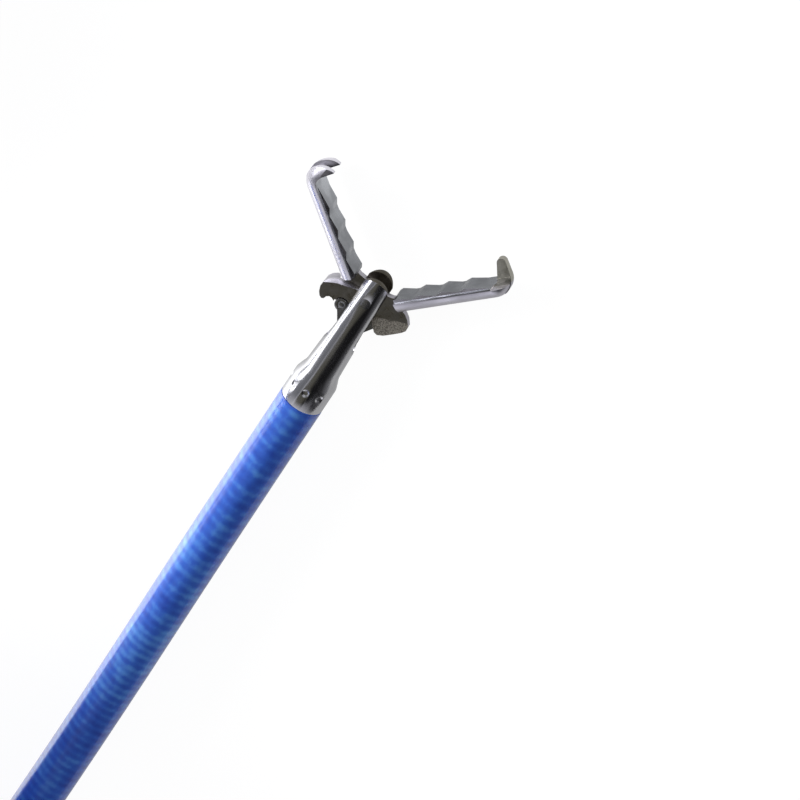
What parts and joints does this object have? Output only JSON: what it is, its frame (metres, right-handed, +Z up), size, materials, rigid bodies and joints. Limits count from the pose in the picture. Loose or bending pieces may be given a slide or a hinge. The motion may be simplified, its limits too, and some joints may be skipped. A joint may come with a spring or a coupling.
{
  "type": "endoscopic foreign body forceps",
  "caption": "Flexible grasping forceps: crossing rat tooth and alligator jaws in a forked steel housing, blue coated coil sheath, and a ring handle whose slider shuts the jaws.",
  "frame": {"origin": "on the surface that the forceps lies on, under the middle of the tip and handle together, without the sheath", "axes": "+X the way the tip points and along the handle from its nose to its thumb ring, +Y from the tip's side to the handle's side, +Z up"},
  "size_m": [0.1717, 0.0914, 0.0102],
  "materials": {
    "steel_polished": "polished stainless steel",
    "steel_jaw": "tumbled stainless steel with polished backs",
    "steel_plain": "bright drawn stainless steel",
    "sheath_blue": "thin blue polyethylene over a steel coil",
    "tie": "woven white strap",
    "relief": "soft satin elastomer",
    "handle_white": "moulded white plastic, fine satin",
    "handle_blue": "moulded blue plastic, fine satin",
    "brass_block": "turned brass"
  },
  "bodies": {
    "forceps_body": {"clevis_housing": "steel_polished", "jaw_pivot_pin": "steel_polished", "sheath_coil_end": "steel_plain", "sheath_run_tip": "sheath_blue", "sheath_coil": "sheath_blue", "sheath_run_handle": "sheath_blue", "coil_tie_left": "tie", "coil_tie_right": "tie", "strain_relief": "relief", "nose_cap": "handle_blue", "handle_body": "handle_white"},
    "slider": {"finger_slider": "handle_blue", "wire_tube": "steel_plain", "wire_block": "brass_block", "clamp_screw": "steel_plain"},
    "draw_rod": {"draw_head": "steel_plain", "draw_pin": "steel_plain", "pull_wire_tip": "steel_plain"},
    "double_jaw": {"jaw_double_tooth": "steel_jaw"},
    "single_jaw": {"jaw_single_tooth": "steel_jaw"},
    "double_link": {"link_double": "steel_plain", "rivet_double": "steel_plain"},
    "single_link": {"link_single": "steel_plain", "rivet_single": "steel_plain"}
  },
  "joints": [
    {"name": "slider_slide", "type": "slide", "parent": "forceps_body", "child": "slider", "axis": [1, 0, 0], "range_m": [0, 0.008]},
    {"name": "draw_slide", "type": "slide", "parent": "forceps_body", "child": "draw_rod", "axis": [-1, 0, 0], "range_m": [0, 0.0007399]},
    {"name": "double_jaw_hinge", "type": "hinge", "parent": "forceps_body", "child": "double_jaw", "pos_m": [0.062, -0.04029, 0.00115], "axis": [0, 0, 1], "range_deg": [-48.01, 0]},
    {"name": "single_jaw_hinge", "type": "hinge", "parent": "forceps_body", "child": "single_jaw", "pos_m": [0.062, -0.04029, 0.00115], "axis": [0, 0, 1], "range_deg": [0, 41.01]},
    {"name": "double_link_hinge", "type": "hinge", "parent": "double_jaw", "child": "double_link", "pos_m": [0.06112, -0.04137, 0.00115], "axis": [0, 0, 1], "range_deg": [0, 77.4]},
    {"name": "single_link_hinge", "type": "hinge", "parent": "single_jaw", "child": "single_link", "pos_m": [0.06099, -0.03931, 0.00115], "axis": [0, 0, 1], "range_deg": [-69.43, 0]}
  ],
  "couplings": [
    {"joint": "draw_slide", "follows": "slider_slide", "ratio": 0.092472},
    {"joint": "double_jaw_hinge", "follows": "slider_slide", "rad_per_m": -104.72},
    {"joint": "single_jaw_hinge", "follows": "slider_slide", "rad_per_m": 89.448},
    {"joint": "double_link_hinge", "follows": "slider_slide", "rad_per_m": 168.85},
    {"joint": "single_link_hinge", "follows": "slider_slide", "rad_per_m": -151.45}
  ]
}
